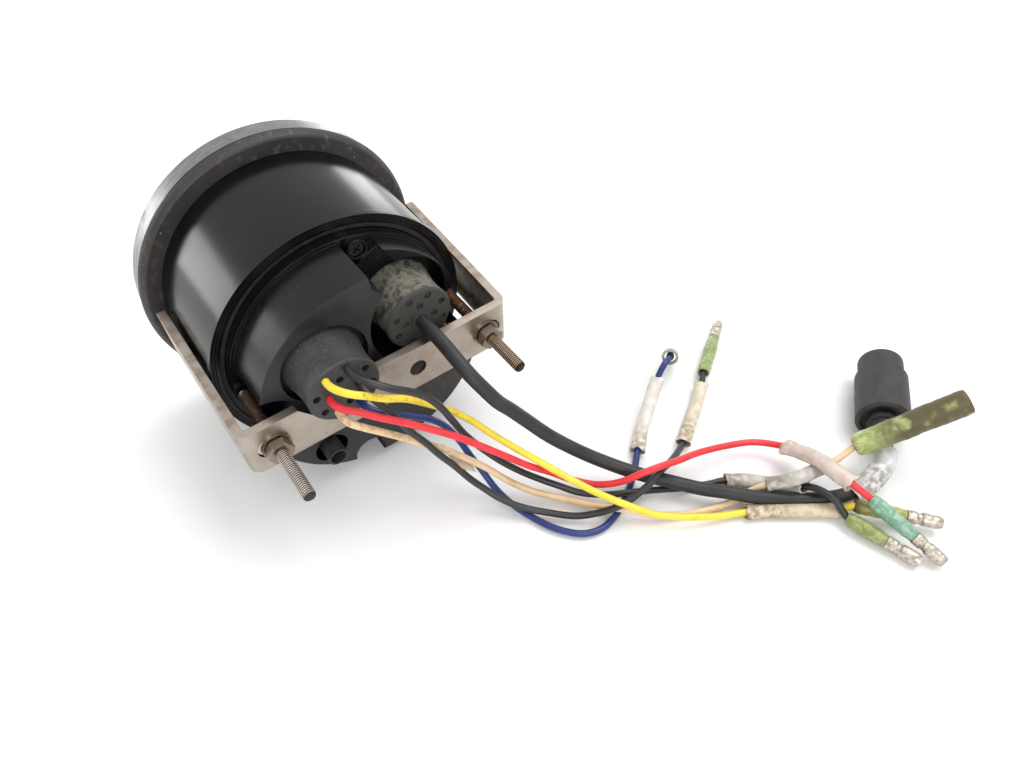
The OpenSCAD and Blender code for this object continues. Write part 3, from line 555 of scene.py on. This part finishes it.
def cord(name, node, route, diameter, material):
    """A free wire along its route."""
    curve = bpy.data.curves.new(name, "CURVE")
    curve.dimensions = "3D"
    curve.bevel_depth = diameter / 2 * MM
    curve.bevel_resolution = 5
    curve.use_fill_caps = True
    line = smooth_line([on_table(p) for p in route], 5)
    spline = curve.splines.new("POLY")
    spline.points.add(len(line) - 1)
    for point, place in zip(spline.points, line):
        point.co = (*place, 1)
    spline.use_smooth = True
    curve.materials.append(material)
    obj = bpy.data.objects.new(name, curve)
    bpy.context.scene.collection.objects.link(obj)
    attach(obj, "gauge")
    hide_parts(node)
    return obj


def satin(paint):
    return paint.height(paint.noise(1.5), 0.03).material


WIRES = {
    "main": cord("cable_to_plug", "cord_main", MAIN_ROUTE, 4.4,
                 satin(insulation("cable_black_sheath", (30, 30, 32), (46, 46, 49), 0.48))),
    "black_a": cord("wire_black_long", "wire_black_a", BLACK_A_ROUTE, 2.2,
                    satin(insulation("wire_black_pvc", (30, 30, 32), (46, 46, 49), 0.34))),
    "black_b": cord("wire_black_short", "wire_black_b", BLACK_B_ROUTE, 2.2,
                    satin(insulation("wire_faded_black_pvc", (38, 38, 40), (54, 54, 57), 0.38))),
    "yellow": cord("wire_yellow_lead", "wire_yellow", YELLOW_ROUTE, 2.2, yellow_insulation()),
    "red": cord("wire_red_lead", "wire_red", RED_ROUTE, 2.2,
                satin(insulation("wire_red_pvc", (222, 48, 56), (196, 34, 44)))),
    "blue": cord("wire_blue_lead", "wire_blue", BLUE_ROUTE, 2.2,
                 satin(insulation("wire_blue_pvc", (34, 50, 112), (24, 34, 84)))),
    "beige": cord("wire_beige_lead", "wire_beige", BEIGE_ROUTE, 2.2, beige_insulation()),
}


# ---- pieces on the cords ----


def new_piece(name, vertices, faces, material, body="gauge", smooth=True):
    mesh = bpy.data.meshes.new(name)
    mesh.from_pydata([tuple(v) for v in vertices], [], faces)
    mesh.update()
    for polygon in mesh.polygons:
        polygon.use_smooth = smooth
    mesh.materials.append(material)
    obj = bpy.data.objects.new(name, mesh)
    bpy.context.scene.collection.objects.link(obj)
    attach(obj, body)
    return obj


def level_axes(heading):
    """Sideways and upward directions across a heading, with sideways kept level."""
    side = heading.cross(Vector((0, 0, 1))).normalized()
    return side, side.cross(heading)


def tube_shell(name, line, outline, material, wall=0.35, sides=28):
    """An open-ended tube with a wall. outline(s, a) gives the sideways, upward and lengthways
    offset in millimetres of its outside at a share s of its length and an angle a round it."""
    rows = []
    for i, centre in enumerate(line):
        heading = (line[min(i + 1, len(line) - 1)] - line[max(i - 1, 0)]).normalized()
        side, up = level_axes(heading)
        s = i / (len(line) - 1)
        outer, inner = [], []
        for k in range(sides):
            x, y, along = outline(s, 2 * math.pi * k / sides)
            shrink = 1 - wall / math.hypot(x, y)
            outer.append(centre + (side * x + up * y + heading * along) * MM)
            inner.append(centre + (side * x * shrink + up * y * shrink + heading * along) * MM)
        rows.append((outer, inner))
    loop = [outer for outer, _ in rows] + [inner for _, inner in reversed(rows)]
    vertices = [v for ring in loop for v in ring]
    faces = []
    for i in range(len(loop)):
        for k in range(sides):
            a, b = i * sides + k, i * sides + (k + 1) % sides
            j = (i + 1) % len(loop)
            faces.append((b, a, j * sides + k, j * sides + (k + 1) % sides))
    return new_piece(name, vertices, faces, material)


def ripple(x, y, z, seed):
    return noise.noise(Vector((x, y, z)) + Vector((seed * 7.3, seed * 3.1, seed * 1.7)))


def label(name, node, route, first, last, width, depth, material, seed, flare=0.3, roll=0.0):
    """A thin marker sleeve, loose and partly flattened on its wire, with worn ends."""
    points = [on_table(p) for p in route[first : last + 1]]
    line = smooth_line(points, 8)
    length = sum((b - a).length for a, b in zip(line, line[1:])) / MM

    def outline(s, a):
        crease = 1 + 0.1 * ripple(s * length / 5, math.cos(a), math.sin(a), seed)
        crease += 0.05 * ripple(s * length / 1.6, 2 * math.cos(a), 2 * math.sin(a), seed + 1)
        open_end = flare * (max(0, 0.12 - s) + max(0, s - 0.88)) / 0.12
        x = (width / 2 + open_end) * crease * math.cos(a)
        y = (depth / 2 + 0.3 * open_end) * crease * math.sin(a)
        edge = max(0, 0.08 - s) - max(0, s - 0.92)
        ragged = 10 * edge * ripple(2 * math.cos(a), 2 * math.sin(a), s * 3, seed + 2)
        c, d = math.cos(roll), math.sin(roll)
        return x * c - y * d, x * d + y * c, ragged

    piece = tube_shell(name, line, outline, material, wall=0.18)
    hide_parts(node)
    return piece


LABELS = {
    "main": label("label_on_cable", "label_main", MAIN_ROUTE, 19, 22, 7.0, 5.4,
                  film("film_white", (226, 226, 226), (188, 186, 182), (96, 82, 70),
                       on_table((-109, 129, 9)), 0.011), 1, 0.5),
    "black_a": label("label_on_black_long", "label_black_a", BLACK_A_ROUTE, 21, 25, 4.8, 3.4,
                     film("film_grey", (206, 203, 196), (166, 160, 150), (120, 104, 86),
                          on_table((-77, 96, 3)), 0.012), 2),
    "black_b": label("label_on_black_short", "label_black_b", BLACK_B_ROUTE, 24, 27, 4.6, 3.2,
                     film("film_yellowed", (222, 212, 192), (190, 178, 158), (146, 118, 84),
                          on_table((-80, 76, 4)), 0.016), 3),
    "yellow": label("label_on_yellow", "label_yellow", YELLOW_ROUTE, 21, 24, 4.8, 3.2,
                    film("film_tan", (214, 200, 170), (180, 160, 126), (118, 88, 56),
                         on_table((-75, 110, 3)), 0.017), 4, 0.5),
    "red": label("label_on_red", "label_red", RED_ROUTE, 22, 25, 5.4, 4.4,
                 film("film_clear", (226, 214, 204), (206, 188, 172), (146, 116, 92),
                      on_table((-99, 98, 6)), 0.01, 0.62), 5, 0.9),
    "blue": label("label_on_blue", "label_blue", BLUE_ROUTE, 21, 24, 4.6, 3.4,
                  film("film_pale", (232, 228, 220), (204, 196, 184), (150, 118, 78),
                       on_table((-63, 71, 3)), 0.015), 6),
    "beige": label("label_on_beige", "label_beige", BEIGE_ROUTE, 20, 24, 4.8, 3.4,
                   film("film_mottled", (202, 198, 190), (160, 154, 144), (116, 102, 86),
                        on_table((-83, 108, 6)), 0.012), 7),
}

# Ends of the connectors: where each sleeve starts and where it points.
ENDS = {
    "yellow": ((-98, 128.5, 4.8), (-107, 140, 4.2)),
    "black_a": ((-93.8, 129.6, 3.5), (-95.8, 141.5, 2.9)),
    "red": ((-100, 131.5, 9.5), (-101.5, 146, 5.2)),
    "black_b": ((-108.5, 58, 3.5), (-127, 46.3, 2.8)),
    "blue": ((-95.5, 52.5, 14.5), (-106.5, 43.3, 3.3)),
    "beige": ((-112.5, 116.5, 11), (-138.5, 132.5, 27)),
}


def straight(p, q, steps=28):
    p, q = on_table(p), on_table(q)
    return [p.lerp(q, i / steps) for i in range(steps + 1)]


def profile(stops, s):
    """Value at s between (s, value) stops."""
    for (s0, v0), (s1, v1) in zip(stops, stops[1:]):
        if s <= s1:
            t = (s - s0) / (s1 - s0)
            return v0 + (v1 - v0) * t * t * (3 - 2 * t)
    return stops[-1][1]


def sleeve(name, node, ends, stops, material, seed):
    """A soft clear sleeve over a crimp, wavy where the crimp presses it out."""
    p, q = ends
    length = (Vector(q) - Vector(p)).length

    def outline(s, a):
        r = profile(stops, s)
        r *= 1 + 0.06 * ripple(s * length / 4, math.cos(a), math.sin(a), seed)
        r += 0.05 * math.sin(s * length * 2.2 + 0.8 * math.sin(a + seed))
        return r * math.cos(a), r * math.sin(a), 0.0

    piece = tube_shell(name, straight(p, q, 40), outline, material, wall=0.45)
    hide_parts(node)
    return piece


def turned(name, base, tip, stops, material, sides=28, bore=None, ripple_by=0.0, seed=1):
    """A turned piece from base to tip: (share of length, radius) stops, with a blind bore."""
    rings = []
    centre = [Vector(base).lerp(Vector(tip), s) for s, _ in stops]
    heading = (Vector(tip) - Vector(base)).normalized()
    side, up = level_axes(heading)
    for place, (_, r) in zip(centre, stops):
        rings.append((place, r))
    if bore is not None:
        radius, depth = bore
        rings.append((centre[-1], radius))
        rings.append((centre[-1] - heading * depth, radius))
    vertices, faces = [], []
    for j, (place, r) in enumerate(rings):
        for k in range(sides):
            a = 2 * math.pi * k / sides
            q = r * (1 + ripple_by * ripple(j * 0.7, math.cos(a), math.sin(a), seed))
            vertices.append(on_table(place + (side * math.cos(a) + up * math.sin(a)) * q))
    for j in range(len(rings) - 1):
        for k in range(sides):
            m = (k + 1) % sides
            faces.append((j * sides + m, j * sides + k, (j + 1) * sides + k, (j + 1) * sides + m))
    faces.append(tuple(range(sides)))
    last = (len(rings) - 1) * sides
    faces.append(tuple(last + k for k in reversed(range(sides))))
    return new_piece(name, vertices, faces, material)


SLEEVE_STOPS = [(0, 1.75), (0.12, 2.2), (0.45, 2.3), (0.8, 2.15), (1, 1.85)]
SLEEVES = {
    "yellow": sleeve("sleeve_on_yellow", "sleeve_yellow", ENDS["yellow"], SLEEVE_STOPS,
                     vinyl("vinyl_olive_teal", (168, 164, 84), (206, 200, 140), (96, 84, 40),
                           dirt_from=on_table((-96, 126, 5)), reach=0.008), 11),
    "black_a": sleeve("sleeve_on_black_long", "sleeve_black_a", ENDS["black_a"], SLEEVE_STOPS,
                      vinyl("vinyl_olive", (138, 150, 84), (176, 184, 130), (84, 80, 40)),
                      12),
    "red": sleeve("sleeve_on_red", "sleeve_red", ENDS["red"], SLEEVE_STOPS,
                  vinyl("vinyl_teal", (122, 168, 142), (172, 204, 182), (74, 96, 76)),
                  13),
    "black_b": sleeve("sleeve_on_black_short", "sleeve_black_b", ENDS["black_b"],
                      [(0, 2.2), (0.1, 2.35), (0.3, 2.2), (0.6, 2.5), (0.85, 2.2), (1, 1.8)],
                      vinyl("vinyl_green", (142, 160, 100), (176, 190, 140), (92, 92, 44)),
                      14),
    "blue": sleeve("sleeve_on_blue", "sleeve_blue", ENDS["blue"],
                   [(0, 2.5), (0.1, 2.9), (0.6, 3), (1, 2.6)],
                   vinyl("vinyl_green_cap", (124, 142, 104), (160, 174, 132), (72, 80, 50)),
                   15),
    "beige": sleeve("sleeve_of_socket", "socket_sleeve", ENDS["beige"],
                    [(0, 2.9), (0.03, 3.5), (0.08, 3.8), (0.5, 3.9), (0.97, 3.95), (1, 3.8)],
                    vinyl("vinyl_dirty_olive", (164, 176, 108), (204, 214, 150), (86, 78, 44),
                          0.9, on_table((-133, 129, 23)), 0.027), 16),
}


def point_between(key, s):
    p, q = (Vector(e) for e in ENDS[key])
    return p.lerp(q, s)


CRIMP = plain("crimp_dark_tin", (128, 116, 100), (84, 74, 62), 0.5, 0.8, 1.0, 0.05)
CORRODED = plain("socket_corroded_tin", (196, 178, 138), (142, 120, 80), 0.7, 0.3, 0.9, 0.2)
BARREL = [(0, 1.0), (0.1, 1.35), (0.5, 1.4), (0.55, 1.15), (0.7, 1.45), (1, 1.45)]
CRIMPS = {
    key: turned("crimp_on_" + key, point_between(key, 0.12), point_between(key, 0.97), BARREL,
                CRIMP, ripple_by=0.08, seed=i)
    for i, key in enumerate(["yellow", "black_a", "red", "black_b", "blue"])
}
CRIMPS["beige"] = turned(
    "socket_barrel", point_between("beige", 0.25), point_between("beige", 0.955),
    [(0, 1.5), (0.15, 2.6), (0.3, 3.1), (0.85, 3.3), (0.93, 3.42), (1, 3.42)],
    CORRODED, bore=(2.0, 12), ripple_by=0.03)


def tape_scrap():
    """A creased scrap of yellowed tape that hangs from the beige wire."""
    middle = on_table((-9.2, 47.8, 19.8))
    across = Vector((-0.75, 0.25, -0.6)).normalized()
    down = Vector((-0.1, 0.55, -0.8)).normalized()
    out = across.cross(down).normalized()
    columns, rows = 14, 10
    vertices, faces = [], []
    for layer in (0.04, -0.04):
        for j in range(rows + 1):
            for i in range(columns + 1):
                x, y = i / columns - 0.5, j / rows
                bend = 1.4 * math.cos(math.pi * y) + 0.9 * ripple(3 * x, 3 * y, 0, 21)
                width = 8.5 - 2.5 * y + 0.8 * ripple(5 * x, 4 * y, 1, 22)
                place = across * (x * width) + down * (7.5 * y - 1.6) + out * (bend + layer)
                vertices.append(middle + place * MM)
    size = (rows + 1) * (columns + 1)
    for j in range(rows):
        for i in range(columns):
            a = j * (columns + 1) + i
            quad = (a, a + 1, a + columns + 2, a + columns + 1)
            faces.append(quad)
            faces.append(tuple(size + v for v in reversed(quad)))
    rim = [i for i in range(columns + 1)]
    rim += [j * (columns + 1) + columns for j in range(1, rows + 1)]
    rim += [rows * (columns + 1) + i for i in range(columns - 1, -1, -1)]
    rim += [j * (columns + 1) for j in range(rows - 1, 0, -1)]
    for a, b in zip(rim, rim[1:] + rim[:1]):
        faces.append((b, a, size + a, size + b))
    tape = film("tape_yellowed", (206, 184, 140), (178, 150, 104), (132, 104, 66),
                tuple(middle), 0.006, 0.55)
    return new_piece("tape_on_beige", vertices, faces, tape)


TAPE = tape_scrap()


# ---- threaded studs ----

PITCH = 0.7
STUD_R = 1.95
THREAD_DEPTH = 0.36


def threaded_stud(name, node, u, low, high, material):
    """A stud with a helical thread over its whole length, from w = low to high."""
    sides, per_turn = 28, 8
    count = int((high - low) / PITCH * per_turn)
    vertices, faces = [], []
    for i in range(count + 1):
        w = low + (high - low) * i / count
        end = min(1.0, (high - w) / 0.7)
        for k in range(sides):
            phase = (w / PITCH - k / sides) % 1.0
            crest = 1 - abs(2 * phase - 1)
            r = (STUD_R - THREAD_DEPTH * (1 - min(1.0, crest * 1.25))) * (0.82 + 0.18 * end)
            a = 2 * math.pi * k / sides
            vertices.append(on_gauge(u + r * math.cos(a), r * math.sin(a), w))
    for i in range(count):
        for k in range(sides):
            m = (k + 1) % sides
            faces.append((i * sides + k, i * sides + m, (i + 1) * sides + m, (i + 1) * sides + k))
    faces.append(tuple(reversed(range(sides))))
    faces.append(tuple(count * sides + k for k in range(sides)))
    piece = new_piece(name, vertices, faces, material)
    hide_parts(node)


threaded_stud("stud_left_threaded", "stud_left", -STUD_U, -4, 48,
              stud_steel("stud_grey_steel", -STUD_U, (190, 180, 170), (160, 142, 124),
                         (112, 84, 62), 0.4))
threaded_stud("stud_right_threaded", "stud_right", STUD_U, -4, 45.5,
              stud_steel("stud_brown_steel", STUD_U, (168, 146, 124), (132, 104, 80),
                         (94, 68, 50), 0.7))


# ---- dial markings ----

DIAL_W = -42.2
DIAL_START, DIAL_SWEEP, DIAL_TOP = -30, 240, 7
INK = plain("dial_white_ink", (232, 232, 228), (220, 220, 214), 0.6, size=1.0, depth=0.005)


def dial_angle(value):
    return math.radians(DIAL_START + DIAL_SWEEP * value / DIAL_TOP)


def dial_ticks():
    """Ten small divisions to each number, drawn as raised ink."""
    vertices, faces = [], []
    for i in range(DIAL_TOP * 10 + 1):
        a = dial_angle(i / 10)
        inner, half = (30.4, 0.55) if i % 10 == 0 else (32.2, 0.3) if i % 5 == 0 else (33.4, 0.16)
        along, across = Vector((math.cos(a), math.sin(a))), Vector((-math.sin(a), math.cos(a)))
        base = len(vertices)
        for w in (DIAL_W - 0.01, DIAL_W - 0.07):
            for r, t in ((inner, -half), (35.6, -half), (35.6, half), (inner, half)):
                p = along * r + across * t
                vertices.append(on_gauge(p.x, p.y, w))
        sides = [(k, (k + 1) % 4, (k + 1) % 4 + 4, k + 4) for k in range(4)]
        for quad in [(3, 2, 1, 0), (4, 5, 6, 7)] + sides:
            faces.append(tuple(base + q for q in quad))
    piece = new_piece("dial_ticks", vertices, faces, INK, smooth=False)


def dial_numbers():
    for value in range(DIAL_TOP + 1):
        text = bpy.data.curves.new(f"dial_number_{value}", "FONT")
        text.body = str(value)
        text.align_x, text.align_y = "CENTER", "CENTER"
        text.size = 7.2 * MM
        text.extrude = 0.03 * MM
        a = dial_angle(value)
        place = on_gauge(25.6 * math.cos(a), 25.6 * math.sin(a), DIAL_W - 0.04)
        axes = Matrix((-GAUGE_U, GAUGE_V, -GAUGE_W)).transposed().to_4x4()
        shape = bpy.data.objects.new("text", text)
        mesh = bpy.data.meshes.new_from_object(shape)
        bpy.data.objects.remove(shape)
        mesh.transform(Matrix.Translation(place) @ axes)
        mesh.materials.clear()
        mesh.materials.append(INK)
        obj = bpy.data.objects.new(f"dial_number_{value}", mesh)
        bpy.context.scene.collection.objects.link(obj)
        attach(obj, "gauge")


dial_ticks()
dial_numbers()


# ---- floor and light ----


def make_floor():
    mesh = bpy.data.meshes.new("floor")
    sides, radius, level = 96, 4.0, -0.2 * MM
    turns = [2 * math.pi * k / sides for k in range(sides)]
    rim = [(radius * math.cos(a), radius * math.sin(a), level) for a in turns]
    mesh.from_pydata(rim, [], [tuple(range(sides))])
    p = Paint("floor_white_table", (240, 240, 240), 0.7, specular=0.2)
    p.coat_of(p.step(p.noise(60), 0.4, 0.7), (238, 237, 236))
    mesh.materials.append(p.material)
    floor = bpy.data.objects.new("floor", mesh)
    bpy.context.scene.collection.objects.link(floor)


def area_light(name, place, target, size, watts, colour=(1, 1, 1)):
    data = bpy.data.lights.new(name, "AREA")
    data.shape = "RECTANGLE"
    data.size, data.size_y = size
    data.energy = watts
    data.color = colour
    light = bpy.data.objects.new(name, data)
    bpy.context.scene.collection.objects.link(light)
    light.visible_camera = False
    light.location = place
    light.rotation_euler = (Vector(target) - Vector(place)).to_track_quat("-Z", "Y").to_euler()


def make_light():
    world = bpy.data.worlds.new("studio")
    world.use_nodes = True
    world.node_tree.nodes["Background"].inputs[0].default_value = (1.0, 1.0, 1.0, 1.0)
    world.node_tree.nodes["Background"].inputs[1].default_value = 0.95
    bpy.context.scene.world = world
    area_light("key", (-0.45, 0.1, 0.95), (-0.03, 0.05, 0.02), (0.8, 0.6), 6)
    area_light("side", (0.35, 0.75, 0.55), (0, 0.03, 0.04), (0.4, 0.4), 2.5)
    area_light("strip_left", (0.6, -0.8, 0.25), (0, 0, 0.05), (0.28, 0.4), 1.9)
    area_light("strip_right", (-0.62, -0.8, 0.16), (0, 0, 0.05), (0.24, 0.3), 0.9)


make_floor()
make_light()
bpy.context.scene.view_settings.view_transform = "Standard"

bpy.context.view_layer.update()
